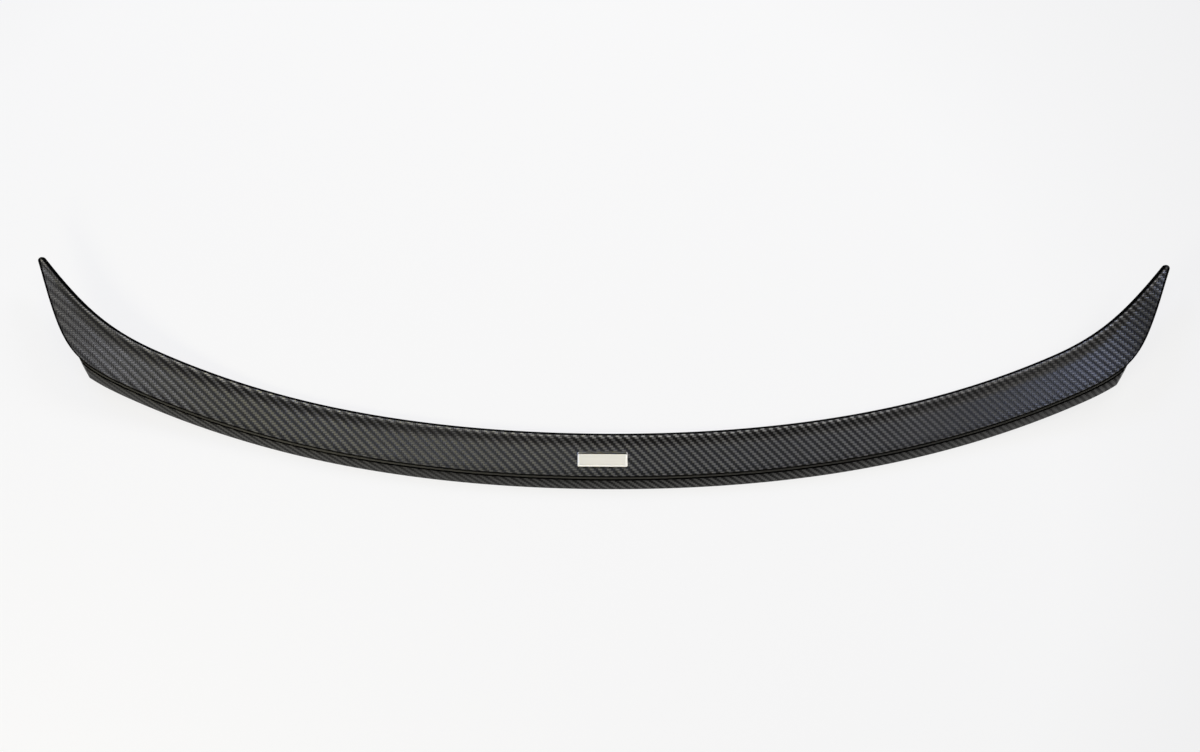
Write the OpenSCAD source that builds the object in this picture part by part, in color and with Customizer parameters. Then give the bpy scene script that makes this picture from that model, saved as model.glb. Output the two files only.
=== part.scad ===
// Lip spoiler for a car's boot lid: a thin woven-laminate shell, open underneath, that sticks on with
// foam tape. Seen from above, the rear of the car is toward -Y and the two tips sweep forward, toward +Y.
// Each cross section runs from the front edge to the rear edge: a rounded nose, a hollow face that
// climbs to the ridge, a small ledge with a groove, and a skirt that falls to the lid.

/* [Overall] */
// Tip to tip across the car
span = 1030; // [940:5:1120]
// How far the base line lifts by the tips
tip_rise = 38; // [10:1:60]
// Half of the middle stretch whose base line is flat
flat_half = 295; // [250:5:360]
// Forward run of the front edge over half the span, as a parabola
bow = 86; // [60:1:110]
// Extra forward run that grows with the fourth power
flare = 46; // [20:1:70]

/* [Wings] */
// Length of each wing, measured across the car from its tip
wing_l = 100; // [85:1:125]
// Forward run of a wing from its root to its tip
wing_reach = 80; // [60:0.5:95]
// Radius of the tip, seen from above
tip_r = 3.1; // [2.8:0.1:6]
// Direction of the front edge at the tip, from across the car
tip_front_angle = 52.5; // [46:0.5:58]
// Direction of the outer edge at the tip
tip_rear_angle = 72; // [64:1:78]
// Share of a wing's chord that pulls its front edge, at each end
front_pull = 0.39; // [0.3:0.01:0.48]
// Share of a wing's chord that pulls its outer edge, at the root
outer_pull_root = 0.46; // [0.35:0.01:0.6]
// Share of a wing's chord that pulls its outer edge, at the tip
outer_pull_tip = 0.55; // [0.4:0.01:0.62]
// Width of the wing below which its section is solid
solid_w = 19; // [17:0.5:26]

/* [Blade] */
// Width of the blade from the front edge to the back of the ridge, seen from above
blade_w = 40; // [36:0.5:46]
// Height of the nose above the lid
nose_h = 7; // [6.4:0.1:10]
// Radius of the nose
nose_r = 3.3; // [2.4:0.1:4.4]
// Height of the ridge above the lid
ridge_h = 19; // [16:0.25:25]
// Radius of the ridge
ridge_r = 1.4; // [1:0.1:2]
// Flat stretch behind the nose
scoop_w = 4.7; // [3:0.1:6.5]
// Width of the bend from the flat stretch to the face
knee_w = 7.5; // [5:0.25:9]
// Width of the kick up at the ridge
lip_w = 5; // [3.5:0.25:7]
// Angle of the kick up at the ridge
lip_angle = 32; // [28:1:40]

/* [Skirt] */
// Overhang of the skirt behind the ridge at the middle, seen from above
skirt_w = 11.8; // [10:0.1:15]
// How much narrower that overhang is at the wings' roots
skirt_taper = 1.2; // [0:0.1:3]
// Height of the ledge behind the ridge
ledge_h = 12.5; // [11.5:0.1:14]
// Width of the ledge
ledge_w = 1.8; // [1.2:0.1:2.4]
// Width of the groove behind the ledge
groove_w = 1.3; // [0.9:0.1:1.8]
// Depth of the groove below the ledge
groove_d = 2.2; // [1.4:0.1:2.8]
// Height of the skirt's top edge below the ledge
skirt_drop = 1.1; // [0.6:0.1:1.6]
// Distance across the car from the tip to the end of the skirt
skirt_end = 31.5; // [28:0.5:45]
// Run of the slanted end of the skirt, across the car
skirt_slant = 18; // [10:1:20]
// Lean of that end, inward for each unit it rises
skirt_end_lean = 0.3; // [0.1:0.05:0.4]

/* [Shell] */
// Thickness of the laminate
wall = 1.8; // [1.4:0.1:2.2]
// Height of the shell's rim above the lid
rim_z = 0.3; // [0.2:0.05:0.6]
// Thickness of the foot flanges
flange_t = 1.5; // [1.2:0.1:1.8]
// Width of the foot flanges, inside the rim
flange_w = 9; // [8:0.25:11]

/* [Tape] */
// Thickness of the foam tape
tape_t = 1; // [0.8:0.05:1.2]
// Width of the foam tape
tape_w = 8; // [6:0.25:8]
// Half length of the middle tapes, across the car
tape_middle_half = 258; // [200:1:270]
// Gap between one tape's end and the next
tape_break = 3; // [2:0.5:6]
// Gap between a tape's side and the rim
tape_inset = 0.5; // [0.3:0.05:0.5]
// Gap over the tape
tape_gap = 0.05; // [0.03:0.01:0.1]

/* [Badge] */
// Length of the badge plate, across the car
badge_l = 46; // [30:0.5:60]
// Width of the badge plate, up the face
badge_w = 14.4; // [10:0.2:16]
// Thickness of the badge plate
badge_t = 0.9; // [0.6:0.1:1.4]
// Radius of the plate's corners
badge_r = 1; // [0.6:0.1:2]
// Bevel round the plate's top
badge_bevel = 0.3; // [0.1:0.05:0.4]
// Distance of the plate's middle from the front edge, seen from above
badge_v = 24.2; // [23.4:0.1:25]
// Margin of the adhesive pad inside the plate's outline
pad_margin = 1.6; // [1:0.1:3]
// Thickness of the adhesive pad
pad_t = 0.7; // [0.5:0.05:1]
// Gap under the adhesive pad
pad_gap = 0.12; // [0.12:0.01:0.2]

/* [Hidden] */

half = span / 2;
root = half - wing_l;
foot_z = tape_t + tape_gap;
flange_top = foot_z + flange_t;
groove_z = ledge_h - groove_d;
skirt_z = ledge_h - skirt_drop;
// The laminate measured straight down through the sloping face, and level through the skirt
roof_t = wall * 1.1;
// How far the front rim's foot stands in from the nose, and how high that bevel reaches
foot_lean = 0.5;
foot_top_lean = 0.1;
foot_h = 1.4;
// Height of the skirt's widest point above its rim
skirt_foot_h = 1;
skirt_foot_z = rim_z + skirt_foot_h;
// How much each side of the groove leans
groove_lean = 0.1;
// Bevel between the skirt's inside and the ridge's
inner_bevel = 0.6;
// How much the face's bend is filled on the inside
knee_fill = 0.35;
// Share of the nose's height that is left at the tip
tip_share = 0.55;
// How the ridge falls toward the tip, and how far it always stands over the nose
ridge_fall = 0.9;
ridge_over = 0.2;
// Softening of the ledge's and the skirt's top edges
edge_r = 0.4;
// How far the skirt's rim stands in from its widest point
rim_lean = 0.3;
// How far the front rim's inside stands back from the laminate's
front_lean = 0.4;
// Nearest that two foot flanges come to each other in a wing
flange_space = 5;
// Least width of a foot flange, as a share of the section
flange_share = 0.08;
// Nearest that the inside comes to the back wall, level
inner_space = 0.5;
// Distance from the front edge, at the middle, back to the frame's origin under the rear tape
origin_y = blade_w + skirt_w - rim_lean - wall - tape_inset - tape_w / 2;

body_steps = 19;
bend_steps = 3;
slant_steps = 8;
wing_steps = 10;
cap_steps = 3;
cap_share = 0.85;
tape_step = 20;
nose_steps = 4;
knee_steps = 3;
ridge_steps = 3;

// Plan curves

function heading(a) = [cos(a), sin(a)];
function front_y(s) = bow * pow(s / half, 2) + flare * pow(s / half, 4);
function front_slope(s) = (2 * bow * s / half + 4 * flare * pow(s / half, 3)) / half;
function along(s) = heading(atan(front_slope(s)));
function across(s) = [along(s)[1], -along(s)[0]];
function front_point(s) = [s, front_y(s)];
function bezier(p, t) = pow(1 - t, 3) * p[0] + 3 * t * pow(1 - t, 2) * p[1]
    + 3 * t * t * (1 - t) * p[2] + pow(t, 3) * p[3];
function lift(x) = tip_rise * pow(max(0, abs(x) - flat_half) / (half - flat_half), 2);

tip_centre = [half - tip_r, front_y(root) + wing_reach];
wing_front_in = front_point(root);
wing_front_out = tip_centre + tip_r * heading(tip_front_angle + 90);
wing_outer_in = wing_front_in + blade_w * across(root);
wing_outer_out = tip_centre + tip_r * heading(tip_rear_angle - 90);
front_chord = norm(wing_front_out - wing_front_in);
outer_chord = norm(wing_outer_out - wing_outer_in);
wing_front = [wing_front_in, wing_front_in + front_pull * front_chord * along(root),
    wing_front_out - front_pull * front_chord * heading(tip_front_angle), wing_front_out];
wing_outer = [wing_outer_in, wing_outer_in + outer_pull_root * outer_chord * along(root),
    wing_outer_out - outer_pull_tip * outer_chord * heading(tip_rear_angle), wing_outer_out];

// Place along a wing where its outer edge is x from the middle, and where the wing is w wide
function wing_width(t) = norm(bezier(wing_outer, t) - bezier(wing_front, t));
function wing_at_x(x, lo = 0, hi = 1, n = 24) = n == 0 ? lo :
    bezier(wing_outer, (lo + hi) / 2)[0] < x ? wing_at_x(x, (lo + hi) / 2, hi, n - 1)
    : wing_at_x(x, lo, (lo + hi) / 2, n - 1);
function wing_at_width(w, lo = 0.3, hi = 1, n = 24) = n == 0 ? lo :
    wing_width((lo + hi) / 2) > w ? wing_at_width(w, (lo + hi) / 2, hi, n - 1)
    : wing_at_width(w, lo, (lo + hi) / 2, n - 1);
skirt_corner_t = wing_at_x(half - skirt_end - skirt_slant);
skirt_end_t = wing_at_x(half - skirt_end);
solid_t = wing_at_width(solid_w);
solid_step = 0.01;

// Base profile of the blade's top, as [distance from the front edge, height]

ridge_centre = [blade_w - ridge_r, ridge_h - ridge_r];
lip_end = ridge_centre + ridge_r * heading(90 + lip_angle);
lip_bend = lip_end - [lip_w / 2, tan(lip_angle) * lip_w / 2];
knee_start = nose_r + scoop_w;
knee_mid = knee_start + knee_w / 2;
face_slope = (lip_bend[1] - nose_h) / (lip_bend[0] - knee_mid);
function face_point(v) = [v, nose_h + face_slope * (v - knee_mid)];
function bend(a, b, c, t) = pow(1 - t, 2) * a + 2 * t * (1 - t) * b + t * t * c;
knee_end = face_point(knee_start + knee_w);
lip_start = face_point(lip_bend[0] - lip_w / 2);
scoop_points = [[nose_r * 1.5, nose_h], [knee_start, nose_h]];
knee_points = [for (i = [1:knee_steps])
    bend([knee_start, nose_h], [knee_mid, nose_h], knee_end, i / knee_steps)];
face_points = [face_point((knee_end[0] + lip_start[0]) / 2), lip_start];
lip_points = [bend(lip_start, lip_bend, lip_end, 0.5)];
ridge_points = [for (i = [0:ridge_steps])
    ridge_centre + ridge_r * heading((90 + lip_angle) * (1 - i / ridge_steps))];
nose_points = [for (i = [0:nose_steps])
    [nose_r, nose_h - nose_r] + nose_r * heading(180 - 90 * i / nose_steps)];
foot_points = [[foot_lean, rim_z], [foot_top_lean, rim_z + foot_h]];
blade_profile = concat(foot_points, nose_points, scoop_points, knee_points, face_points, lip_points,
    ridge_points);

// The profile fitted to a blade that is w wide: widths and heights shrink toward the tip
function slimness(w) = min(1, max(0, (w - 2 * tip_r) / (blade_w - 2 * tip_r)));
function smallness(w) = min(1, w / (6 * tip_r));
function nose_h_at(w) = rim_z
    + (nose_h - rim_z) * (tip_share + (1 - tip_share) * smallness(w));
function ridge_h_at(w) = nose_h_at(w) + (ridge_h - nose_h) * pow(slimness(w), ridge_fall) + ridge_over;
function fitted(p, w) = [
    p[0] < nose_r ? p[0] * smallness(w)
        : nose_r * smallness(w) + (p[0] - nose_r) * (w - nose_r * smallness(w)) / (blade_w - nose_r),
    p[1] < nose_h ? rim_z + (p[1] - rim_z) * (nose_h_at(w) - rim_z) / (nose_h - rim_z)
        : nose_h_at(w) + (p[1] - nose_h) * (ridge_h_at(w) - nose_h_at(w)) / (ridge_h - nose_h)];

// Back of the section, from the ridge down: the skirt's points, and their places on a plain back wall
function skirt_points(o) = [
    [blade_w, ledge_h],
    [blade_w + ledge_w - edge_r, ledge_h],
    [blade_w + ledge_w, ledge_h - edge_r],
    [blade_w + ledge_w + groove_lean, groove_z],
    [blade_w + ledge_w + groove_w - groove_lean, groove_z],
    [blade_w + ledge_w + groove_w, skirt_z - edge_r],
    [blade_w + ledge_w + groove_w + edge_r, skirt_z],
    [blade_w + (ledge_w + groove_w + edge_r + o) / 2, (skirt_z + skirt_foot_z) / 2],
    [blade_w + o, skirt_foot_z],
    [blade_w + o - rim_lean, rim_z]];
skirt_in_z = groove_z - wall;
skirt_fall = (skirt_z - skirt_foot_z) / (skirt_w - ledge_w - groove_w - edge_r);
function skirt_in_v(o) = blade_w + o - roof_t;
function skirt_in_points(o) = [
    [skirt_in_v(o) - (flange_top - skirt_foot_z) / skirt_fall, flange_top],
    [skirt_in_v(o) - (skirt_in_z - skirt_foot_z) / skirt_fall, skirt_in_z],
    [blade_w - wall + inner_bevel, skirt_in_z],
    [blade_w - wall, skirt_in_z + inner_bevel]];

// A skirt point drawn in where the overhang is cut off at the limit, toward its place on the back wall
function drawn_in(p, back, limit, share, wall_z) =
    let (cut = limit - skirt_end_lean * max(0, min(p[1], groove_z) - skirt_foot_z),
        k = p[0] <= back ? share : min(1, max(0, (cut - back) / (p[0] - back))))
    [p[0] <= back ? p[0] : back + (p[0] - back) * k, wall_z + (p[1] - wall_z) * k];

function section_skirt(w, o, limit) =
    let (pts = skirt_points(o), n = len(pts) - 1, share = limit / o,
        top = fitted([blade_w, ledge_h], w)[1])
    [for (i = [0:n])
        let (wall_z = rim_z + (top - rim_z) * (1 - i / n),
            p = drawn_in(pts[i] + [w - blade_w, 0], w, w + limit, share, wall_z))
        [p[0] - (i == n ? rim_lean * (1 - share) * smallness(w) : 0), p[1]]];

// Inside of the section, from the rear rim round to the front rim, open between the foot flanges
function flange_at(w, rim) = max(flange_share * w, min(flange_w, (w - 2 * rim - flange_space) / 2));
function section_inside(w, o, limit, hollow) =
    let (
        rim = wall * smallness(w),
        total = w + limit,
        rear = total - rim - rim_lean * limit / o,
        fl = flange_at(total, rim),
        from = rear - fl,
        to = rim + front_lean + fl,
        top = ridge_h_at(w) - roof_t - ridge_r,
        face_mid = (knee_end[0] + lip_start[0]) / 2,
        roof = [for (v = [lip_start[0], face_mid, knee_end[0], knee_mid, knee_start])
            let (low = [v, nose_h + (v > knee_start ? knee_fill : 0)],
                p = fitted(v >= knee_end[0] ? face_point(v) : low, w))
            [min(p[0], w - wall - inner_space), p[1] - roof_t]],
        in_pts = skirt_in_points(o),
        in_n = len(in_pts),
        shift = w - blade_w,
        back = [for (i = [0:in_n - 1])
            let (back_top = min(skirt_in_z + inner_bevel, top - 1),
                wall_z = flange_top + (back_top - flange_top) * i / (in_n - 1))
            drawn_in(in_pts[i] + [shift, 0], w - wall, w - wall + limit, limit / o, wall_z)],
        cavity = concat(
            [[from, flange_top]], back, [[w - wall, top]], roof,
            [[wall + inner_space, nose_h_at(w) - roof_t - ridge_over]],
            [[wall, flange_top], [to, flange_top]]),
        n = len(cavity)
    )
    concat(
        [[rear, rim_z], [rear, foot_z], [from, foot_z]],
        [for (i = [0:n - 1]) hollow ? cavity[i] : [from + (to - from) * (i + 1) / (n + 1), foot_z]],
        [[to, foot_z], [rim + front_lean, foot_z], [rim + front_lean, rim_z]]);

function section(w, o, limit, hollow) = concat(
    [for (p = blade_profile) fitted(p, w)],
    section_skirt(w, o, limit),
    section_inside(w, o, limit, hollow));

// A station is [front point, direction across the blade, blade width, skirt, cut of the skirt, hollow]
function skirt_at(s) = skirt_w - skirt_taper * pow(min(1, s / root), 2);
function body_station(s) = [front_point(s), across(s), blade_w, skirt_at(s), skirt_at(s), true];
function wing_station(t, hollow) =
    let (f = bezier(wing_front, t), r = bezier(wing_outer, t), w = norm(r - f),
        cut = min(1, max(0, (half - skirt_end - r[0]) / skirt_slant)))
    [f, (r - f) / w, w, skirt_at(root), skirt_at(root) * cut, hollow];
function cap_station(q) =
    let (mid = (tip_front_angle + tip_rear_angle) / 2,
        f = tip_centre + tip_r * heading(tip_front_angle + 90 + (mid - tip_front_angle - 90) * q),
        r = tip_centre + tip_r * heading(tip_rear_angle - 90 + (mid - tip_rear_angle + 90) * q),
        w = norm(r - f))
    [f, (r - f) / w, w, skirt_at(root), 0, false];
function steps(from, to, n) = [for (i = [1:n]) from + (to - from) * i / n];

stations = concat(
    [for (i = [0:body_steps]) body_station(root * i / body_steps)],
    [for (t = steps(0, skirt_corner_t, bend_steps)) wing_station(t, true)],
    [for (t = steps(skirt_corner_t, skirt_end_t, slant_steps)) wing_station(t, true)],
    [for (t = steps(skirt_end_t, solid_t, wing_steps)) wing_station(t, true)],
    [wing_station(solid_t + solid_step, false)],
    [for (t = steps(solid_t + solid_step, 1, wing_steps / 2)) wing_station(t, false)],
    [for (i = [1:cap_steps]) cap_station(cap_share * i / cap_steps)]);

// Section point of a station set in space, on the right (side = 1) or the left (side = -1)
function placed(st, p, side) =
    let (q = st[0] + st[1] * p[0])
    [side * q[0], q[1] + origin_y, p[1] + lift(q[0])];
function ring(st, side) = [for (p = section(st[2], st[3], st[4], st[5])) placed(st, p, side)];
function mean(pts) = [for (j = [0:2]) let (c = [for (p = pts) p[j]]) (min(c) + max(c)) / 2];
tip_point = tip_centre + tip_r * heading((tip_front_angle + tip_rear_angle) / 2);

module spoiler_shell() {
    last = len(stations) - 1;
    rings = concat(
        [for (i = [last:-1:1]) ring(stations[i], -1)],
        [for (i = [0:last]) ring(stations[i], 1)]);
    n = len(rings[0]);
    m = len(rings);
    end_z = mean(rings[m - 1])[2];
    ends = [for (side = [-1, 1]) [side * tip_point[0], tip_point[1] + origin_y, end_z]];
    points = concat([for (r = rings) each r], ends);
    faces = concat(
        [for (i = [0:m - 2], j = [0:n - 1])
            let (a = i * n + j, b = i * n + (j + 1) % n)
            each (i < last ? [[a, a + n, b + n], [a, b + n, b]] : [[a, a + n, b], [b, a + n, b + n]])],
        [for (j = [0:n - 1]) [m * n, j, (j + 1) % n]],
        [for (j = [0:n - 1]) [m * n + 1, (m - 1) * n + (j + 1) % n, (m - 1) * n + j]]);
    color([0.13, 0.13, 0.15]) polyhedron(points, faces);
}

// Distance from the front edge to a tape's rear side
function tape_edge(s, rear) = rear ? blade_w + skirt_at(s) - rim_lean - wall - tape_inset
    : wall + front_lean + tape_inset + tape_w;

// Foam tape under a foot flange, from s = a to s = b along the front edge
module tape(a, b, rear, side) {
    n = max(2, ceil((b - a) / tape_step));
    rings = [for (i = [0:n])
        let (s = a + (b - a) * i / n,
            edge = tape_edge(s, rear),
            q = [for (v = [edge - tape_w, edge]) front_point(s) + across(s) * v])
        [for (k = [[0, 0], [1, 0], [1, 1], [0, 1]])
            [side * q[k[0]][0], q[k[0]][1] + origin_y, lift(q[k[0]][0]) + k[1] * tape_t]]];
    points = [for (r = rings) each r];
    faces = concat(
        [[0, 1, 2], [0, 2, 3]],
        [for (i = [0:n - 1], j = [0:3])
            let (c = i * 4 + j, d = i * 4 + (j + 1) % 4)
            each [[c, c + 4, d + 4], [c, d + 4, d]]],
        [[n * 4, n * 4 + 2, n * 4 + 1], [n * 4, n * 4 + 3, n * 4 + 2]]);
    color([0.2, 0.2, 0.2]) polyhedron(points, side > 0 ? faces : [for (f = faces) [f[0], f[2], f[1]]]);
}

// Middle tape: a flat band cut from one sheet
module middle_tape(rear) {
    n = 2 * ceil(tape_middle_half / tape_step);
    function edge(s, far) =
        let (a = abs(s), q = front_point(a) + across(a) * (tape_edge(a, rear) - (far ? 0 : tape_w)))
        [sign(s) * q[0], q[1] + origin_y];
    row = [for (i = [0:n]) -tape_middle_half + 2 * tape_middle_half * i / n];
    color([0.2, 0.2, 0.2]) linear_extrude(tape_t)
        polygon(concat([for (s = row) edge(s, true)], [for (i = [n:-1:0]) edge(row[i], false)]));
}

module front_tape_middle() middle_tape(false);
module front_tape_left() tape(tape_middle_half + tape_break, root, false, -1);
module front_tape_right() tape(tape_middle_half + tape_break, root, false, 1);
module rear_tape_middle() middle_tape(true);
module rear_tape_left() tape(tape_middle_half + tape_break, root, true, -1);
module rear_tape_right() tape(tape_middle_half + tape_break, root, true, 1);

// Lays its children on the straight part of the face, h above it
module on_face(h) {
    p = face_point(badge_v);
    translate([0, origin_y - p[0], p[1]]) rotate([-atan(face_slope), 0, 0]) translate([0, 0, h]) children();
}

module rounded_plate(l, w, t, r, bevel) {
    hull() {
        linear_extrude(t - bevel) offset(r) square([l - 2 * r, w - 2 * r], center = true);
        linear_extrude(t) offset(r - bevel) square([l - 2 * r, w - 2 * r], center = true);
    }
}

module badge_plate() {
    color([0.8, 0.8, 0.82]) on_face(pad_gap + pad_t)
        rounded_plate(badge_l, badge_w, badge_t, badge_r, badge_bevel, $fn = 24);
}

module badge_pad() {
    color([0.1, 0.1, 0.1]) on_face(pad_gap) translate([0, 0, pad_t / 2])
        cube([badge_l - 2 * pad_margin, badge_w - 2 * pad_margin, pad_t], center = true);
}

spoiler_shell();
badge_plate();
badge_pad();
front_tape_middle();
front_tape_left();
front_tape_right();
rear_tape_middle();
rear_tape_left();
rear_tape_right();
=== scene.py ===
import bpy
import math
from mathutils import Matrix, Vector


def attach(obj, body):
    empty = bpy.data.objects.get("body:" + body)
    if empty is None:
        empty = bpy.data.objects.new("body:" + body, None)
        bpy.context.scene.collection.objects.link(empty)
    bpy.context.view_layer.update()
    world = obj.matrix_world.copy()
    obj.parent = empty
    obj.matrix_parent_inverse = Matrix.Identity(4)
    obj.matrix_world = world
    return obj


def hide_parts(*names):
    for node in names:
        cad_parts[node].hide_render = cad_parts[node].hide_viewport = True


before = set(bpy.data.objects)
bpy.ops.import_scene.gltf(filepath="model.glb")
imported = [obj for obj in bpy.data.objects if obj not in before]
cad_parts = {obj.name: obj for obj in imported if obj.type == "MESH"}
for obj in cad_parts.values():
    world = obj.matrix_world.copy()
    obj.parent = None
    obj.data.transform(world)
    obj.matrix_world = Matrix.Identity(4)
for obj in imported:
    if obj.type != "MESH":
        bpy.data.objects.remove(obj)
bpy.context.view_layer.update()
print("frame loaded")


def pickNothing():
    for thing in bpy.context.selected_objects:
        thing.select_set(False)


def makeActive(thing):
    pickNothing()
    thing.select_set(True)
    bpy.context.view_layer.objects.active = thing


def newMaterial(name):
    mat = bpy.data.materials.new(name)
    mat.use_nodes = True
    tree = mat.node_tree
    shader = tree.nodes["Principled BSDF"]
    return mat, tree, shader


def addNode(tree, kind, **settings):
    node = tree.nodes.new(kind)
    for key, value in settings.items():
        setattr(node, key, value)
    return node


def feed(tree, socket, value):
    # a socket takes another node's output or a plain value
    if isinstance(value, bpy.types.NodeSocket):
        tree.links.new(value, socket)
    else:
        socket.default_value = value


def calc(tree, operation, a, b=0.0, c=0.0):
    node = addNode(tree, "ShaderNodeMath", operation=operation)
    for socket, value in zip(node.inputs, (a, b, c)):
        feed(tree, socket, value)
    return node.outputs[0]


def mixTones(tree, share, first, second, blend="MIX"):
    mix = addNode(tree, "ShaderNodeMix", data_type="RGBA", blend_type=blend)
    for place, value in ((0, share), (6, first), (7, second)):
        feed(tree, mix.inputs[place], value)
    return mix.outputs[2]


def rescaled(tree, value, fromRange, toRange):
    level = addNode(tree, "ShaderNodeMapRange")
    for socket, number in zip(level.inputs, (value, *fromRange, *toRange)):
        feed(tree, socket, number)
    return level.outputs[0]


def objectPlace(tree):
    return addNode(tree, "ShaderNodeTexCoord").outputs["Object"]


# Camera: straight above the part, as in the picture
camSet = dict(
    height=2.0,            # above the floor
    mmPerPixel=0.93,       # on the floor
    pictureWide=1200,
    axisPixel=603.07,      # the part's centre line in the picture's middle row
    frontEdgePixel=57.5,   # from the middle row down to the front edge
    roll=0.402,
    sensor=36,
)


def buildCamera(frontEdgeY):
    data = bpy.data.cameras.new("viewCamera")
    data.sensor_width = camSet["sensor"]
    wide = camSet["pictureWide"] * camSet["mmPerPixel"] / 1000
    data.lens = camSet["sensor"] * camSet["height"] / wide
    data.clip_end = 50
    cam = bpy.data.objects.new("viewCamera", data)
    bpy.context.scene.collection.objects.link(cam)
    offX = (camSet["pictureWide"] / 2 - camSet["axisPixel"]) * camSet["mmPerPixel"] / 1000
    offY = frontEdgeY + camSet["frontEdgePixel"] * camSet["mmPerPixel"] / 1000
    cam.location = (offX, offY, camSet["height"])
    cam.rotation_euler = (0, 0, math.radians(camSet["roll"]))
    bpy.context.scene.camera = cam


# Floor, world and lamps
roomSet = dict(
    aim=(0, 0.1, 0),       # under the middle of the part, where the lamps face
    floorSize=40,
    floorRough=0.95,
    floorGleam=0.1,
    floorTone=(0.82, 0.82, 0.82, 1),
    seenTone=(0.955, 0.954, 0.957, 1),
    shadowShare=0.16,      # how much of the lit floor the camera sees under the flat white
    paintedLightSpot=(-0.15, -0.05, 0),  # painted light: the flat white is painted darker away from here
    paintedFalloffOver=(0.58, 0.95),         # where the painted darkening starts and ends
    paintedFalloffTo=0.9,
    skyTone=(1.0, 1.0, 1.0, 1),
    skyLevel=0.2,
)
lampSet = [    # name, place, width, height, watts, tone
    ("highRight", (1.0, 1.8, 1.8), 0.8, 0.6, 21, (0.88, 0.90, 1.0)),
    ("sideRight", (1.7, 1.0, 1.2), 0.6, 0.6, 11.5, (1.0, 0.98, 0.92)),
    ("highLeft", (-1.0, 1.8, 1.8), 0.8, 0.6, 20, (0.29, 0.42, 1.0)),
    ("steep", (0, 0.9, 2.4), 1.2, 0.4, 8.5, (1.0, 0.95, 0.88)),
    ("nearLeft", (-0.25, 0.85, 0.85), 0.4, 0.4, 2.0, (1.0, 0.93, 0.4)),
    ("backLeft", (-0.8, -0.7, 0.8), 0.5, 0.4, 7.0, (1.0, 0.94, 0.66)),
]


def buildRoom():
    bpy.ops.mesh.primitive_plane_add(size=roomSet["floorSize"], location=roomSet["aim"])
    floor = bpy.context.active_object
    floor.name = "whiteFloor"
    bpy.ops.object.transform_apply(location=True)
    mat, tree, shader = newMaterial("whitePaper")
    shader.inputs["Base Color"].default_value = roomSet["floorTone"]
    shader.inputs["Roughness"].default_value = roomSet["floorRough"]
    shader.inputs["Specular IOR Level"].default_value = roomSet["floorGleam"]
    flat = addNode(tree, "ShaderNodeEmission")
    flat.inputs["Color"].default_value = roomSet["seenTone"]
    # painted light: the flat white falls off with distance from a bright spot, as lamp light would
    away = addNode(tree, "ShaderNodeVectorMath", operation="DISTANCE")
    tree.links.new(objectPlace(tree), away.inputs[0])
    away.inputs[1].default_value = roomSet["paintedLightSpot"]
    paintedFalloff = rescaled(tree, away.outputs["Value"], roomSet["paintedFalloffOver"], (1.0, roomSet["paintedFalloffTo"]))
    tree.links.new(paintedFalloff, flat.inputs["Strength"])
    # the eye, the gloss and the rays that pass on see flat white, other rays see lit paper
    rays = addNode(tree, "ShaderNodeLightPath")
    seen = calc(tree, "MAXIMUM", rays.outputs["Is Camera Ray"], rays.outputs["Is Glossy Ray"])
    seen = calc(tree, "MAXIMUM", seen, rays.outputs["Is Transmission Ray"])
    share = calc(tree, "MULTIPLY", seen, 1 - roomSet["shadowShare"])
    blend = addNode(tree, "ShaderNodeMixShader")
    for socket, value in zip(blend.inputs, (share, shader.outputs[0], flat.outputs[0])):
        tree.links.new(value, socket)
    tree.links.new(blend.outputs[0], tree.nodes["Material Output"].inputs["Surface"])
    floor.data.materials.append(mat)

    world = bpy.data.worlds.new("plainRoom")
    world.use_nodes = True
    bpy.context.scene.world = world
    back = world.node_tree.nodes["Background"]
    back.inputs["Color"].default_value = roomSet["skyTone"]
    back.inputs["Strength"].default_value = roomSet["skyLevel"]

    for name, spot, wide, tall, watts, tone in lampSet:
        data = bpy.data.lights.new(name, "AREA")
        data.shape = "RECTANGLE"
        data.size, data.size_y = wide, tall
        data.energy = watts
        data.color = tone
        lamp = bpy.data.objects.new(name, data)
        bpy.context.scene.collection.objects.link(lamp)
        lamp.location = spot
        aim = Vector(roomSet["aim"]) - lamp.location
        lamp.rotation_euler = aim.to_track_quat("-Z", "Y").to_euler()


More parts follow.
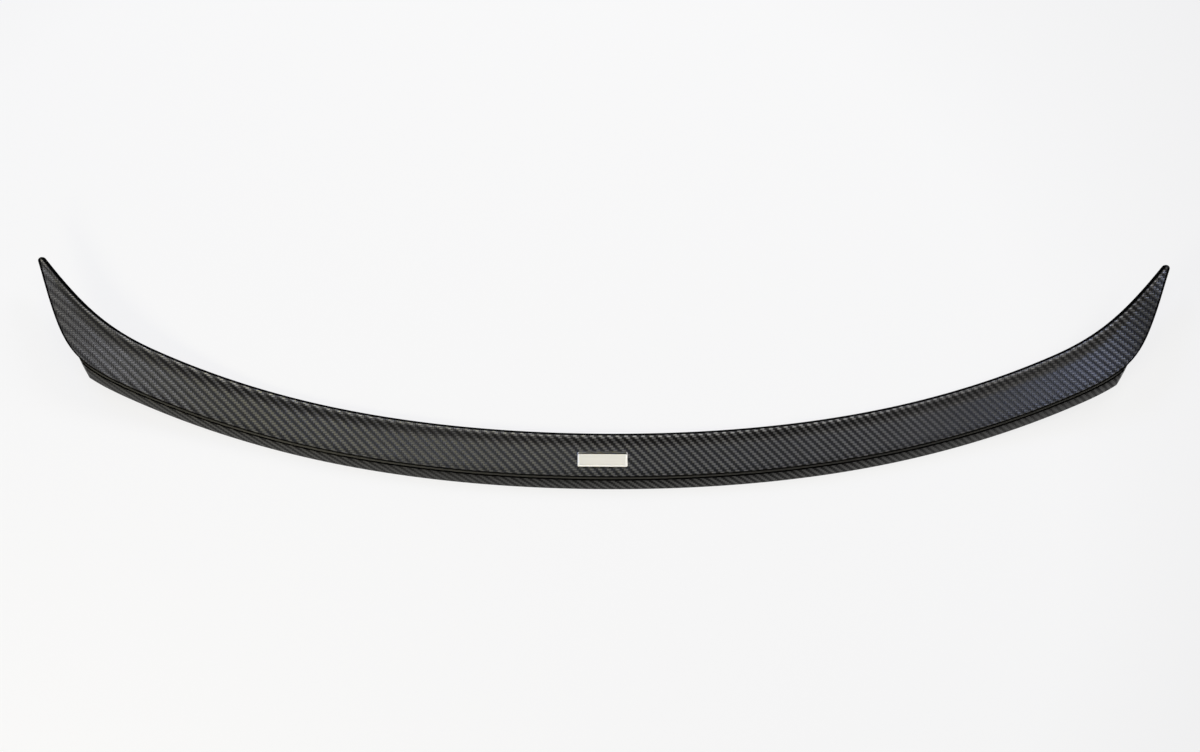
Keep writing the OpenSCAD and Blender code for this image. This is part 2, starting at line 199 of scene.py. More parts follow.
# Sizes of the shell, in millimetres and degrees
shellSet = dict(
    # plan of one half, and how far the base line lifts by the tip
    half=515, bow=86, flare=46, flatHalf=295, tipRise=38,
    # wing
    wing=100, wingReach=80, tipR=3.1, tipFrontAngle=52.5, tipRearAngle=72,
    frontPull=0.39, outerPullRoot=0.46, outerPullTip=0.55,
    # blade, from the nose to the ridge
    bladeW=40, noseH=7, noseR=3.3, scoopW=4.7, kneeW=7.5, lipW=5, lipAngle=32,
    ridgeH=19, ridgeR=1.4,
    # the front rim under the nose: in from the nose and up from the rim
    footPoints=((0.5, 0), (0.25, 0.7), (0.1, 1.4)),
    # ledge, groove and skirt behind the ridge
    ledgeH=12.5, ledgeW=1.8, grooveW=1.3, grooveD=2.2, grooveLean=0.1, cornerR=0.3,
    skirtW=11.8, skirtTaper=1.2, skirtDrop=1.1, skirtFootH=1,
    skirtEnd=31.5, skirtSlant=18, skirtEndLean=0.3,
    # laminate, foot flanges and the inside, which is solid where the wing is narrow
    wall=1.8, roofShare=1.1, rimZ=0.3, rimLean=0.3, frontLean=0.4,
    flangeT=1.5, flangeW=9, flangeShare=0.08, flangeSpace=5,
    innerBevel=0.6, innerSpace=0.5, noseBevel=(0.5, 0.2), kneeFill=0.35, edgeR=0.4,
    solidWidth=19, solidGap=0.01,
    footZ=1.05, tapeInset=0.5, tapeW=8,
    # how the section shrinks toward the tip
    tipShare=0.55, ridgeFall=0.9, ridgeOver=0.2, tipCap=0.93,
    # width of the painted shade, in black, along the edges of the blade and of a wing, and the
    # share of it over which it ends
    shadeFront=(1.45, 2.2), shadeBack=(0.95, 1.8), shadeGrow=5, shadeFade=0.4,
    bendTo=4, bendMinW=6,  # where the painted highlight over the bend of the nose ends, and the least blade that gets it
    smoothAngle=38,
)
# Points along each part of the section, and sections along each stretch of one half
shellRows = dict(nose=8, knee=8, face=6, lip=5, ridge=7,
                 core=60, corner=10, slant=48, hollow=30, solid=24, tip=8)
s = shellSet
shellRoot = s["half"] - s["wing"]
rearTape = s["rimLean"] + s["wall"] + s["tapeInset"] + s["tapeW"] / 2
shellOriginY = s["bladeW"] + s["skirtW"] - rearTape
skirtFootZ = s["rimZ"] + s["skirtFootH"]
tipMid = (s["tipFrontAngle"] + s["tipRearAngle"]) / 2
crestRow = len(s["footPoints"]) + shellRows["nose"]     # the top of the nose in the profile


def steps(count, first=0):
    return [i / count for i in range(first, count + 1)]


def clamped(value):
    return min(1.0, max(0.0, value))


def heading(angle):
    return Vector((math.cos(math.radians(angle)), math.sin(math.radians(angle))))


def frontY(x):
    u = x / s["half"]
    return s["bow"] * u**2 + s["flare"] * u**4


def along(x):
    u = x / s["half"]
    slope = (2 * s["bow"] * u + 4 * s["flare"] * u**3) / s["half"]
    return Vector((1, slope)).normalized()


def across(x):
    t = along(x)
    return Vector((t.y, -t.x))


def bezier(p, t):
    shares = ((1 - t)**3, 3 * t * (1 - t)**2, 3 * t * t * (1 - t), t**3)
    return shares[0] * p[0] + shares[1] * p[1] + shares[2] * p[2] + shares[3] * p[3]


def bendPoint(a, b, c, t):
    return (1 - t)**2 * a + 2 * t * (1 - t) * b + t * t * c


def lift(x):
    over = max(0.0, abs(x) - s["flatHalf"]) / (s["half"] - s["flatHalf"])
    return s["tipRise"] * over**2


tipCentre = Vector((s["half"] - s["tipR"], frontY(shellRoot) + s["wingReach"]))
frontIn = Vector((shellRoot, frontY(shellRoot)))
frontOut = tipCentre + s["tipR"] * heading(s["tipFrontAngle"] + 90)
outerIn = frontIn + s["bladeW"] * across(shellRoot)
outerOut = tipCentre + s["tipR"] * heading(s["tipRearAngle"] - 90)
frontChord = (frontOut - frontIn).length
outerChord = (outerOut - outerIn).length
wingFront = [frontIn, frontIn + s["frontPull"] * frontChord * along(shellRoot),
             frontOut - s["frontPull"] * frontChord * heading(s["tipFrontAngle"]), frontOut]
wingOuter = [outerIn, outerIn + s["outerPullRoot"] * outerChord * along(shellRoot),
             outerOut - s["outerPullTip"] * outerChord * heading(s["tipRearAngle"]), outerOut]


def wingWhere(test):
    # how far out along the wing the test holds, by halving
    lo, hi = 0.0, 1.0
    for _ in range(30):
        mid = (lo + hi) / 2
        if test(mid):
            lo = mid
        else:
            hi = mid
    return lo


# Blade profile: (distance from the front edge, height)
ridgeCentre = Vector((s["bladeW"] - s["ridgeR"], s["ridgeH"] - s["ridgeR"]))
lipEnd = ridgeCentre + s["ridgeR"] * heading(90 + s["lipAngle"])
lipBend = lipEnd - Vector((s["lipW"] / 2, math.tan(math.radians(s["lipAngle"])) * s["lipW"] / 2))
kneeStart = s["noseR"] + s["scoopW"]
kneeMid = kneeStart + s["kneeW"] / 2
faceSlope = (lipBend.y - s["noseH"]) / (lipBend.x - kneeMid)


def facePoint(v):
    return Vector((v, s["noseH"] + faceSlope * (v - kneeMid)))


kneeEnd = facePoint(kneeStart + s["kneeW"])
lipStart = facePoint(lipBend.x - s["lipW"] / 2)


def bladeProfile():
    rows = shellRows
    pts = [Vector((x, s["rimZ"] + z)) for x, z in s["footPoints"]]
    centre = Vector((s["noseR"], s["noseH"] - s["noseR"]))
    pts += [centre + s["noseR"] * heading(180 - 90 * k) for k in steps(rows["nose"])]
    pts += [Vector((s["noseR"] + s["scoopW"] * k, s["noseH"])) for k in (0.35, 0.7, 1.0)]
    start, mid = Vector((kneeStart, s["noseH"])), Vector((kneeMid, s["noseH"]))
    pts += [bendPoint(start, mid, kneeEnd, k) for k in steps(rows["knee"], 1)]
    pts += [kneeEnd.lerp(lipStart, k) for k in steps(rows["face"], 1)]
    pts += [bendPoint(lipStart, lipBend, lipEnd, k) for k in steps(rows["lip"], 1)[:-1]]
    sweep = 90 + s["lipAngle"]
    pts += [ridgeCentre + s["ridgeR"] * heading(sweep * (1 - k)) for k in steps(rows["ridge"])]
    return pts


def slimness(w):
    # 1 at the blade's full width, 0 at the tip's
    return clamped((w - 2 * s["tipR"]) / (s["bladeW"] - 2 * s["tipR"]))


def smallness(w):
    # 1 down to six tip radii wide, then less
    return min(1.0, w / (6 * s["tipR"]))


def noseAt(w):
    share = s["tipShare"] + (1 - s["tipShare"]) * smallness(w)
    return s["rimZ"] + (s["noseH"] - s["rimZ"]) * share


def ridgeAt(w):
    return noseAt(w) + (s["ridgeH"] - s["noseH"]) * slimness(w)**s["ridgeFall"] + s["ridgeOver"]


def fitted(p, w):
    # the middle's section drawn to a blade of width w
    r = s["noseR"] * smallness(w)
    if p.x < s["noseR"]:
        x = p.x * smallness(w)
    else:
        x = r + (p.x - s["noseR"]) * (w - r) / (s["bladeW"] - s["noseR"])
    if p.y < s["noseH"]:
        z = s["rimZ"] + (p.y - s["rimZ"]) * (noseAt(w) - s["rimZ"]) / (s["noseH"] - s["rimZ"])
    else:
        z = noseAt(w) + (p.y - s["noseH"]) * (ridgeAt(w) - noseAt(w)) / (s["ridgeH"] - s["noseH"])
    return Vector((x, z))


def softened(pts, radius, count=2, reach=0.42):
    # rounds the inner corners of an open line, each into count + 1 points
    out = [pts[0]]
    for a, b, c in zip(pts, pts[1:], pts[2:]):
        trimIn = min(radius, reach * (b - a).length)
        trimOut = min(radius, reach * (c - b).length)
        p, q = b + (a - b).normalized() * trimIn, b + (c - b).normalized() * trimOut
        out += [bendPoint(p, b, q, k) for k in steps(count)]
    out.append(pts[-1])
    return out


def skirtCorners(o):
    top = s["ledgeH"] - s["skirtDrop"]
    low = s["ledgeH"] - s["grooveD"]
    ledge, back, lean = s["bladeW"] + s["ledgeW"], s["bladeW"] + o, s["grooveLean"]
    groove = ledge + s["grooveW"]
    pts = [(s["bladeW"], s["ledgeH"]), (ledge, s["ledgeH"]), (ledge + lean, low),
           (groove - lean, low), (groove, top), ((groove + back) / 2, (top + skirtFootZ) / 2),
           (back, skirtFootZ), (back - s["rimLean"], s["rimZ"])]
    return [Vector(p) for p in pts]


def drawnIn(p, back, limit, share, wallZ):
    # a point of the skirt, drawn to the back wall at wallZ where the skirt is cut to limit
    if p.x <= back + 1e-6:
        return Vector((p.x, wallZ + (p.y - wallZ) * share))
    rise = min(p.y, s["ledgeH"] - s["grooveD"]) - skirtFootZ
    cut = limit - s["skirtEndLean"] * max(0.0, rise)
    k = clamped((cut - back) / (p.x - back))
    return Vector((back + (p.x - back) * k, wallZ + (p.y - wallZ) * k))


def sectionSkirt(w, o, limit, ridgeFoot):
    pts = skirtCorners(o)
    last = len(pts) - 1
    share = limit / o
    top = fitted(Vector((s["bladeW"], s["ledgeH"])), w).y
    out = []
    for i, p in enumerate(pts):
        wallZ = s["rimZ"] + (top - s["rimZ"]) * (1 - i / last)
        q = drawnIn(p + Vector((w - s["bladeW"], 0)), w, w + limit, share, wallZ)
        if i == last:
            q.x -= s["rimLean"] * (1 - share) * smallness(w)
        out.append(q)
    return softened([ridgeFoot] + out, s["cornerR"])[1:]


def sectionInside(w, o, limit, hollow):
    rim = s["wall"] * smallness(w)
    total = w + limit
    roofT = s["wall"] * s["roofShare"]
    flangeTop = s["footZ"] + s["flangeT"]
    front, rear = rim + s["frontLean"], total - rim - s["rimLean"] * limit / o
    flange = min(s["flangeW"], (total - 2 * rim - s["flangeSpace"]) / 2)
    flange = max(s["flangeShare"] * total, flange)
    a, b = rear - flange, front + flange
    back = w - s["wall"]
    # the inside of the skirt, then of the blade from the ridge to the nose
    innerZ = s["ledgeH"] - s["grooveD"] - s["wall"]
    bevelZ = innerZ + s["innerBevel"]
    skirtRun = s["skirtW"] - s["ledgeW"] - s["grooveW"] - s["edgeR"]
    fall = (s["ledgeH"] - s["skirtDrop"] - skirtFootZ) / skirtRun
    inV = s["bladeW"] + o - roofT
    ridgeV = s["bladeW"] - s["wall"]
    inner = [(inV - (z - skirtFootZ) / fall, z) for z in (flangeTop, innerZ)]
    inner += [(ridgeV + s["innerBevel"], innerZ), (ridgeV, bevelZ)]
    top = ridgeAt(w) - roofT - s["ridgeR"]
    cavity = [Vector((a, flangeTop))]
    for i, p in enumerate(inner):
        wallZ = flangeTop + (min(bevelZ, top - 1) - flangeTop) * i / (len(inner) - 1)
        moved = Vector(p) + Vector((w - s["bladeW"], 0))
        cavity.append(drawnIn(moved, back, back + limit, limit / o, wallZ))
    cavity.append(Vector((back, top)))
    kneeFilled = Vector((kneeMid, s["noseH"] + s["kneeFill"]))
    for base in (lipStart, facePoint((kneeEnd.x + lipStart.x) / 2), kneeEnd, kneeFilled,
                 Vector((kneeStart, s["noseH"]))):
        p = fitted(base, w)
        cavity.append(Vector((min(p.x, back - s["innerSpace"]), p.y - roofT)))
    bevelX, bevelDrop = s["noseBevel"]
    cavity += [Vector((s["wall"] + bevelX, noseAt(w) - roofT - bevelDrop)),
               Vector((s["wall"], flangeTop)), Vector((b, flangeTop))]
    n = len(cavity)
    if not hollow:
        cavity = [Vector((a + (b - a) * (i + 1) / (n + 1), s["footZ"])) for i in range(n)]
    foot = [(rear, s["rimZ"]), (rear, s["footZ"]), (a, s["footZ"])]
    frontFoot = [(b, s["footZ"]), (front, s["footZ"]), (front, s["rimZ"])]
    return [Vector(p) for p in foot] + cavity + [Vector(p) for p in frontFoot]


def skirtAt(x):
    return s["skirtW"] - s["skirtTaper"] * min(1.0, x / shellRoot)**2


def wingWidth(t):
    return (bezier(wingOuter, t) - bezier(wingFront, t)).length


def shellStations():
    # each: front point, direction across, blade width, overhang, cut overhang, hollow
    rows = shellRows
    out = []
    for k in steps(rows["core"]):
        x = shellRoot * k
        out.append((Vector((x, frontY(x))), across(x), s["bladeW"], skirtAt(x), skirtAt(x), True))
    skirtX = s["half"] - s["skirtEnd"]
    # the wing is at its narrowest past its first third
    solidT = wingWhere(lambda t: t < 0.3 or wingWidth(t) > s["solidWidth"])
    endT = wingWhere(lambda t: bezier(wingOuter, t).x < skirtX)
    cornerT = wingWhere(lambda t: bezier(wingOuter, t).x < skirtX - s["skirtSlant"])
    places = [cornerT * k for k in steps(rows["corner"], 1)]
    places += [cornerT + (endT - cornerT) * k for k in steps(rows["slant"], 1)]
    places += [endT + (solidT - endT) * k for k in steps(rows["hollow"], 1)]
    hollowCount = len(places)
    solidStart = solidT + s["solidGap"]
    places += [solidStart + (1 - solidStart) * k for k in steps(rows["solid"])]
    overhang = skirtAt(shellRoot)
    for i, t in enumerate(places):
        f, r = bezier(wingFront, t), bezier(wingOuter, t)
        w = (r - f).length
        cut = clamped((skirtX - r.x) / s["skirtSlant"])
        out.append((f, (r - f) / w, w, overhang, overhang * cut, i < hollowCount))
    frontTurn, rearTurn = s["tipFrontAngle"] + 90, s["tipRearAngle"] - 90
    for k in steps(rows["tip"], 1):
        q = s["tipCap"] * math.sin(math.radians(90 * k))
        f, r = (tipCentre + s["tipR"] * heading(turn + (tipMid - turn) * q)
                for turn in (frontTurn, rearTurn))
        w = (r - f).length
        out.append((f, (r - f) / w, w, overhang, 0.0, False))
    return out


# What the skirt shows, three points to a corner: 1 is painted shade in black, 0 cloth, -1 plain
# resin with painted light
skirtMarks = [1, 1, -1, -1, -1, 1, 1, 1, 1, 1, 1, 1, 1, 0.5, 0, 0, 0, 0, 0.2, 1, 1, 1]


def edgeMarks(blade, w, cutShare):
    # painted shade in black along the edges, wider on the wings, and a painted highlight on the
    # cloth over the bend of the nose
    wing = min(1.0, s["shadeGrow"] * (1 - w / s["bladeW"]))
    front, back = (a + (b - a) * wing for a, b in (s["shadeFront"], s["shadeBack"]))
    marks, crestLit = [], []
    for p in blade:
        away = min(p.x / front, (w - p.x) / back)
        marks.append(clamped((1 + s["shadeFade"] - away) / s["shadeFade"]))
        crestLit.append(1.0 if front < p.x < s["bendTo"] and w > s["bendMinW"] else 0.0)
    marks += [1 - (1 - mark) * cutShare for mark in skirtMarks]
    return marks, crestLit


def clothSlack(outer, crest, ridgeEnd):
    # how much more cloth than plan there is, round the nose and down behind the ridge
    lengths = [0.0]
    for a, b in zip(outer, outer[1:]):
        lengths.append(lengths[-1] + (b - a).length)
    slack = []
    for i, p in enumerate(outer):
        turn = min(max(i, crest), ridgeEnd)
        slack.append(lengths[i] - lengths[turn] - (p.x - outer[turn].x))
    return slack


def shellRings():
    base = bladeProfile()
    rings = []
    for f, d, w, o, cut, hollow in shellStations():
        blade = [fitted(p, w) for p in base]
        outer = blade + sectionSkirt(w, o, cut, blade[-1])
        inside = sectionInside(w, o, cut, hollow)
        marks, crestLit = edgeMarks(blade, w, cut / o)
        slack = clothSlack(outer, crestRow, len(base) - 1)
        for p in inside:
            near = min(range(len(outer)), key=lambda i: abs(outer[i].x - p.x))
            slack.append(slack[near])
            marks.append(0.0)
        # painted shade in black at both ends of the inside, along the foot
        marks[len(outer)] = marks[-1] = 1.0
        crestLit += [0.0] * (len(marks) - len(crestLit))
        rings.append((f, d, outer + inside, slack, marks, crestLit))
    return rings


def buildShell():
    rings = shellRings()
    count = len(rings[0][2])
    verts, uvs, shadeMarks, crestLits = [], [], [], []
    order = [(-1, i) for i in range(len(rings) - 1, 0, -1)] + [(1, i) for i in range(len(rings))]
    for side, i in order:
        f, d, pts, slack, marks, crestLit = rings[i]
        shadeMarks += marks
        crestLits += crestLit
        for p, e in zip(pts, slack):
            q = f + d * p.x
            laid = q + d * e
            verts.append((side * q.x / 1000, (q.y + shellOriginY) / 1000, (p.y + lift(q.x)) / 1000))
            uvs.append((side * laid.x / 1000, (laid.y + shellOriginY) / 1000))
    # one point closes each tip
    last = len(order) - 1
    tip = tipCentre + s["tipR"] * heading(tipMid)
    for side, row in ((-1, 0), (1, last)):
        ringZ = [z for x, y, z in verts[row * count:(row + 1) * count]]
        midZ = (min(ringZ) + max(ringZ)) / 2
        verts.append((side * tip.x / 1000, (tip.y + shellOriginY) / 1000, midZ))
        uvs.append(uvs[row * count + crestRow - 1])
        # the tip's point gets the painted shade too
        shadeMarks.append(1.0)
        crestLits.append(0.0)
    faces = []
    for i in range(last):
        for j in range(count):
            a, b = i * count + j, i * count + (j + 1) % count
            faces.append((a, a + count, b + count, b))
    leftTip, rightTip = len(verts) - 2, len(verts) - 1
    for j in range(count):
        faces.append((leftTip, j, (j + 1) % count))
        faces.append((rightTip, last * count + (j + 1) % count, last * count + j))
    mesh = bpy.data.meshes.new("carbonShell")
    mesh.from_pydata(verts, [], faces)
    for name, values in (("shadeMark", shadeMarks), ("bend", crestLits)):
        mesh.attributes.new(name, "FLOAT", "POINT").data.foreach_set("value", values)
    uv = mesh.uv_layers.new(name="clothLay")
    for loop in mesh.loops:
        uv.data[loop.index].uv = uvs[loop.vertex_index]
    shell = bpy.data.objects.new("carbonShell", mesh)
    bpy.context.scene.collection.objects.link(shell)
    makeActive(shell)
    bpy.ops.object.mode_set(mode="EDIT")
    bpy.ops.mesh.select_all(action="SELECT")
    bpy.ops.mesh.normals_make_consistent(inside=False)
    bpy.ops.object.mode_set(mode="OBJECT")
    bpy.ops.object.shade_smooth_by_angle(angle=math.radians(s["smoothAngle"]))
    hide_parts("spoiler_shell")
    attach(shell, "root")
    print("shell:", len(mesh.polygons), "faces")
    return shell


# Twill cloth of carbon fibre under a satin lacquer. The warp runs across the car, the weft along.
clothSet = dict(
    towX=0.001973,         # width of a weft tow
    towY=0.001915,         # width of a warp tow
    crownPower=1.9,        # how flat a tow is over its width
    archPower=2.2,         # and along its float
    archShare=0.7,
    # painted sheen: the warp is painted bright and the weft near black, as the lamps catch one set
    # of fibres and not the other
    warpSheenTone=(0.098, 0.0965, 0.094, 1),
    weftUnlitTone=(0.005, 0.005, 0.005, 1),
    litAlikeTone=(0.05, 0.049, 0.048, 1),
    # place along the car's width, and how far the two sets of fibres are painted alike there, as
    # the light strikes them: painted sheen
    litAlikeAt=[(-0.46, 0.75), (-0.36, 0.35), (-0.24, 0.45), (-0.165, 0.72), (-0.05, 0.35),
             (0.05, 0.1), (0.23, 0.15), (0.32, 0.5), (0.41, 0.8), (0.48, 0.35)],
    # dark resin between tows, and painted shade where tows round off; also the black of the painted
    # shade on the edges
    gapAndShadeTone=(0.002, 0.002, 0.002, 1),
    gapGain=1.15,          # a higher one makes the gaps between tows narrower
    cloudScale=14,
    cloudTones=(0.86, 1.16),
    # painted highlight over the bend of the nose
    crestHighlightGain=2.2,
    # painted light: the ledge's plain resin is painted lighter where the ridge shades it
    resinLitTone=(0.065, 0.065, 0.065, 1),
    metal=0.75,            # the fibres shine like dark metal, the resin between them doesn't
    stretch=0.45,          # how far the fibres draw a highlight out sideways
    rough=0.36,
    warpGleam=0.5, weftGleam=0.12, resinGleam=0.5,
    coat=0.2, coatRough=0.3,
    relief=0.00016, reliefShare=0.8,
)


def towHeight(tree, lengthwise, sideways):
    def fallOff(value, scale, power):
        scaled = calc(tree, "ABSOLUTE", calc(tree, "MULTIPLY", value, scale))
        return calc(tree, "SUBTRACT", 1.0, calc(tree, "POWER", scaled, power))

    crown = fallOff(sideways, 2.0, clothSet["crownPower"])
    arch = fallOff(lengthwise, 1.0, clothSet["archPower"])
    arch = calc(tree, "MULTIPLY", arch, clothSet["archShare"])
    return calc(tree, "MULTIPLY", calc(tree, "ADD", arch, 1 - clothSet["archShare"]), crown)


def clothWeave(tree):
    lay = addNode(tree, "ShaderNodeUVMap", uv_map="clothLay")
    split = addNode(tree, "ShaderNodeSeparateXYZ")
    tree.links.new(lay.outputs[0], split.inputs[0])
    cells, inside = [], []
    for axis, tow in enumerate(("towX", "towY")):
        spot = calc(tree, "DIVIDE", split.outputs[axis], clothSet[tow])
        cells.append(calc(tree, "FLOOR", spot))
        inside.append(calc(tree, "SUBTRACT", calc(tree, "SUBTRACT", spot, cells[axis]), 0.5))
    # over two, under two, stepping one tow to the right in each row down
    turn = calc(tree, "FLOORED_MODULO", calc(tree, "ADD", cells[0], cells[1]), 4.0)
    warpOver = calc(tree, "LESS_THAN", turn, 1.5)

    def alongFloat(axis, firstTurn):
        # from -1 at the float's start to 1 at its end
        first = calc(tree, "COMPARE", turn, firstTurn, 0.1)
        return calc(tree, "ADD", inside[axis], calc(tree, "SUBTRACT", 0.5, first))

    def pick(weft, warp):
        mix = addNode(tree, "ShaderNodeMix")
        for place, value in ((0, warpOver), (2, weft), (3, warp)):
            feed(tree, mix.inputs[place], value)
        return mix.outputs[0]

    warpHigh = towHeight(tree, alongFloat(0, 0.0), inside[1])
    weftHigh = towHeight(tree, alongFloat(1, 3.0), inside[0])
    return warpOver, pick, pick(weftHigh, warpHigh)


def litAlikeShare(tree, where):
    # painted sheen: across the car the two sets of fibres are painted more or less alike, as the
    # light strikes them
    half = shellSet["half"] / 1000
    split = addNode(tree, "ShaderNodeSeparateXYZ")
    tree.links.new(where, split.inputs[0])
    ramp = addNode(tree, "ShaderNodeValToRGB")
    ramp.color_ramp.interpolation = "EASE"
    stops = ramp.color_ramp.elements
    places = [((x + half) / (2 * half), share) for x, share in clothSet["litAlikeAt"]]
    for place, share in places[2:]:
        stops.new(place)
    for stop, (place, share) in zip(stops, places):
        stop.position = place
        stop.color = (share, share, share, 1)
    tree.links.new(rescaled(tree, split.outputs[0], (-half, half), (0.0, 1.0)), ramp.inputs[0])
    return ramp.outputs[0]


def clothMaterial():
    mat, tree, shader = newMaterial("carbonTwill")
    warpOver, pick, high = clothWeave(tree)
    where = objectPlace(tree)
    litAlike = litAlikeShare(tree, where)
    # painted sheen in the warp's and the weft's tones
    weft = mixTones(tree, litAlike, clothSet["weftUnlitTone"], clothSet["litAlikeTone"])
    warp = mixTones(tree, litAlike, clothSet["warpSheenTone"], clothSet["litAlikeTone"])
    fibre = mixTones(tree, warpOver, weft, warp)
    # dark resin in the gaps between tows, and painted shade where each tow rounds off and dives
    # under the next
    shade = calc(tree, "MINIMUM", calc(tree, "MULTIPLY", high, clothSet["gapGain"]), 1.0)
    woven = mixTones(tree, shade, clothSet["gapAndShadeTone"], fibre)
    # slow change of tone over the cloth
    cloud = addNode(tree, "ShaderNodeTexNoise")
    cloud.inputs["Scale"].default_value = clothSet["cloudScale"]
    cloud.inputs["Detail"].default_value = 2
    tree.links.new(where, cloud.inputs["Vector"])
    level = rescaled(tree, cloud.outputs[0], (0.0, 1.0), clothSet["cloudTones"])
    woven = mixTones(tree, 1.0, woven, level, "MULTIPLY")
    # painted highlight: the cloth is painted brighter over the bend of the nose
    bend = addNode(tree, "ShaderNodeAttribute", attribute_name="bend").outputs["Fac"]
    gain = calc(tree, "ADD", 1.0, calc(tree, "MULTIPLY", bend, clothSet["crestHighlightGain"]))
    woven = mixTones(tree, 1.0, woven, gain, "MULTIPLY")
    # plain resin on the ledge, with painted light; painted shade in black on the edges, behind the
    # ridge and in the groove
    shadeMark = addNode(tree, "ShaderNodeAttribute", attribute_name="shadeMark").outputs["Fac"]
    # painted shade in black where the mark is 1, painted light on the plain resin where it is -1
    paintedShade = calc(tree, "MAXIMUM", shadeMark, 0.0)
    litLedge = calc(tree, "MAXIMUM", calc(tree, "MULTIPLY", shadeMark, -1.0), 0.0)
    tone = mixTones(tree, litLedge, woven, clothSet["resinLitTone"])
    tone = mixTones(tree, paintedShade, tone, clothSet["gapAndShadeTone"])
    tree.links.new(tone, shader.inputs["Base Color"])
    clothShare = calc(tree, "SUBTRACT", 1.0, calc(tree, "MAXIMUM", litLedge, paintedShade))
    fibres = calc(tree, "MULTIPLY", calc(tree, "MULTIPLY", shade, clothShare), clothSet["metal"])
    tree.links.new(fibres, shader.inputs["Metallic"])
    resin = calc(tree, "MULTIPLY", litLedge, clothSet["resinGleam"])
    lacquer = calc(tree, "MAXIMUM", pick(clothSet["weftGleam"], clothSet["warpGleam"]), resin)
    gleam = calc(tree, "MULTIPLY", lacquer, calc(tree, "SUBTRACT", 1.0, paintedShade))
    tree.links.new(gleam, shader.inputs["Specular IOR Level"])
    tree.links.new(calc(tree, "MULTIPLY", gleam, clothSet["coat"]), shader.inputs["Coat Weight"])
    for name, value in (("Roughness", clothSet["rough"]), ("Anisotropic", clothSet["stretch"]),
                        ("IOR", 1.45), ("Coat Roughness", clothSet["coatRough"])):
        shader.inputs[name].default_value = value
    # the highlight spreads across the fibres, a quarter turn between weft and warp
    tree.links.new(pick(0.0, 0.25), shader.inputs["Anisotropic Rotation"])
    lay = addNode(tree, "ShaderNodeTangent", direction_type="UV_MAP", uv_map="clothLay")
    tree.links.new(lay.outputs[0], shader.inputs["Tangent"])
    bump = addNode(tree, "ShaderNodeBump")
    bump.inputs["Distance"].default_value = clothSet["relief"]
    relief = calc(tree, "MULTIPLY", clothShare, clothSet["reliefShare"])
    tree.links.new(relief, bump.inputs["Strength"])
    tree.links.new(high, bump.inputs["Height"])
    tree.links.new(bump.outputs[0], shader.inputs["Normal"])
    return mat


# Badge: a bare satin plate with a raised border
badgeSet = dict(
    length=0.046, width=0.0144, thick=0.0009, corner=0.001,
    middleV=24.2,          # from the front edge to its middle, in millimetres
    under=0.00082,         # the pad and its gap
    bevel=0.0002, border=0.00075, slope=0.0001, groove=0.0004, sink=0.0003,
    cornerMerge=0.00012,   # draws the border's rounded corners into sharp ones inside
    borderTone=(0.645, 0.62, 0.545, 1),
    fieldTone=(0.53, 0.505, 0.43, 1),
    grainScale=900,
    grainStretch=(0.05, 1, 1),
    rough=(0.42, 0.58),
)


def badgePlace():
    p = facePoint(badgeSet["middleV"])
    tilt = Matrix.Rotation(-math.atan(faceSlope), 4, "X")
    spot = Vector((0, (shellOriginY - p.x) / 1000, p.y / 1000))
    return Matrix.Translation(spot) @ tilt @ Matrix.Translation((0, 0, badgeSet["under"]))


def editOnly(thing, kind, test):
    # object mode on the way in, edit mode on the way out, with what passes the test selected
    bpy.ops.object.mode_set(mode="EDIT")
    bpy.ops.mesh.select_mode(type=kind)
    bpy.ops.mesh.select_all(action="DESELECT")
    bpy.ops.object.mode_set(mode="OBJECT")
    for part in thing.data.polygons if kind == "FACE" else thing.data.edges:
        part.select = test(part)
    bpy.ops.object.mode_set(mode="EDIT")


def plateShape():
    pickNothing()
    bpy.ops.mesh.primitive_cube_add(size=1, location=(0, 0, badgeSet["thick"] / 2))
    plate = bpy.context.active_object
    plate.name = "badgePlate"
    plate.scale = (badgeSet["length"], badgeSet["width"], badgeSet["thick"])
    bpy.ops.object.transform_apply(location=True, scale=True)
    points = plate.data.vertices

    def upright(e):
        a, b = (points[i].co for i in e.vertices)
        return abs(a.z - b.z) > badgeSet["thick"] / 2

    editOnly(plate, "EDGE", upright)
    bpy.ops.mesh.bevel(offset=badgeSet["corner"], segments=6, affect="EDGES")
    bpy.ops.object.mode_set(mode="OBJECT")
    soften = plate.modifiers.new("soften", "BEVEL")
    soften.width = badgeSet["bevel"]
    soften.segments = 2
    soften.limit_method = "ANGLE"
    soften.angle_limit = math.radians(60)
    bpy.ops.object.modifier_apply(modifier="soften")
    top = max(plate.data.polygons, key=lambda f: f.area * f.normal.z).index
    editOnly(plate, "FACE", lambda f: f.index == top)
    bpy.ops.mesh.inset(thickness=badgeSet["border"], depth=0)
    bpy.ops.mesh.remove_doubles(threshold=badgeSet["cornerMerge"])
    for wide, depth in ((badgeSet["border"] / 2, 0), (badgeSet["slope"], -badgeSet["sink"]),
                        (badgeSet["groove"], 0), (badgeSet["slope"], badgeSet["sink"])):
        bpy.ops.mesh.inset(thickness=wide, depth=depth)
    bpy.ops.object.mode_set(mode="OBJECT")
    # the field inside the groove, which has its own tone, is still selected
    field = plate.data.attributes.new("field", "FLOAT", "FACE")
    for f in plate.data.polygons:
        field.data[f.index].value = 1.0 if f.select else 0.0
    plate.data.transform(badgePlace())
    makeActive(plate)
    bpy.ops.object.shade_smooth_by_angle(angle=math.radians(30))
    return plate


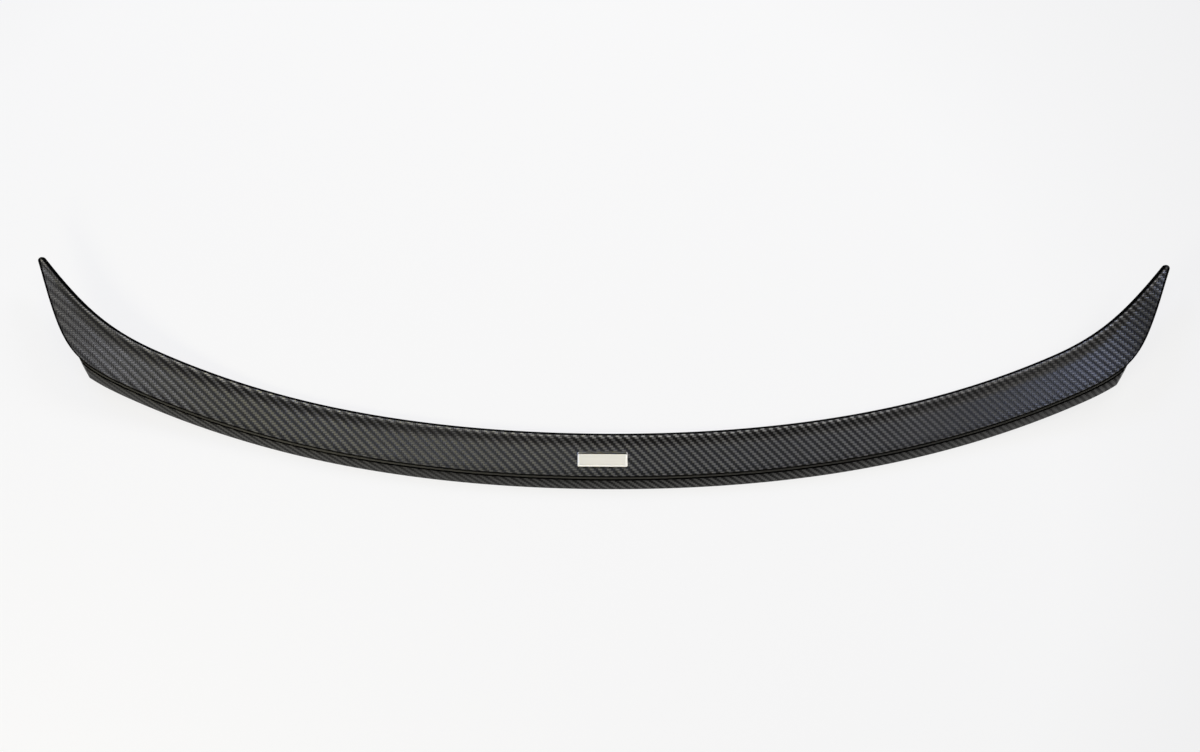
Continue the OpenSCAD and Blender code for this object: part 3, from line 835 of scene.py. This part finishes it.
def plateMaterial():
    mat, tree, shader = newMaterial("satinSilver")
    inField = addNode(tree, "ShaderNodeAttribute", attribute_name="field").outputs["Fac"]
    silver = mixTones(tree, inField, badgeSet["borderTone"], badgeSet["fieldTone"])
    tree.links.new(silver, shader.inputs["Base Color"])
    shader.inputs["Metallic"].default_value = 1.0
    drawn = addNode(tree, "ShaderNodeMapping")
    drawn.inputs["Scale"].default_value = badgeSet["grainStretch"]
    tree.links.new(objectPlace(tree), drawn.inputs[0])
    grain = addNode(tree, "ShaderNodeTexNoise")
    grain.inputs["Scale"].default_value = badgeSet["grainScale"]
    tree.links.new(drawn.outputs[0], grain.inputs["Vector"])
    level = rescaled(tree, grain.outputs[0], (0.0, 1.0), badgeSet["rough"])
    tree.links.new(level, shader.inputs["Roughness"])
    return mat


def buildBadge():
    plate = plateShape()
    plate.data.materials.append(plateMaterial())
    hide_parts("badge_plate")
    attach(plate, "root")
    print("badge plate done")


# Foam tape and pad
foamSet = dict(
    tone=(0.055, 0.056, 0.06, 1),
    linerTone=(0.45, 0.02, 0.015, 1),
    cells=2600,
    cellTones=(0.75, 1.15),
    rough=0.85,
)


def foamMaterial(name, liner):
    mat, tree, shader = newMaterial(name)
    cells = addNode(tree, "ShaderNodeTexVoronoi")
    cells.inputs["Scale"].default_value = foamSet["cells"]
    tree.links.new(objectPlace(tree), cells.inputs["Vector"])
    level = rescaled(tree, cells.outputs[0], (0.0, 1.0), foamSet["cellTones"])
    tone = mixTones(tree, 1.0, foamSet["tone"], level, "MULTIPLY")
    if liner:
        # the tape's underside still has its liner
        facing = addNode(tree, "ShaderNodeNewGeometry")
        split = addNode(tree, "ShaderNodeSeparateXYZ")
        tree.links.new(facing.outputs["True Normal"], split.inputs[0])
        down = calc(tree, "LESS_THAN", split.outputs[2], -0.7)
        tone = mixTones(tree, down, tone, foamSet["linerTone"])
    tree.links.new(tone, shader.inputs["Base Color"])
    shader.inputs["Roughness"].default_value = foamSet["rough"]
    return mat


def dressNodes():
    tape, pad = foamMaterial("tapeFoam", True), foamMaterial("padFoam", False)
    for name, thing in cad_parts.items():
        if "tape" in name or "pad" in name:
            mat = tape if "tape" in name else pad
            if not thing.material_slots:
                thing.data.materials.append(mat)
            for slot in thing.material_slots:
                slot.material = mat


bpy.context.scene.view_settings.view_transform = "Standard"
buildCamera(shellOriginY / 1000)
buildRoom()
shell = buildShell()
shell.data.materials.append(clothMaterial())
buildBadge()
dressNodes()
print("pieces done")
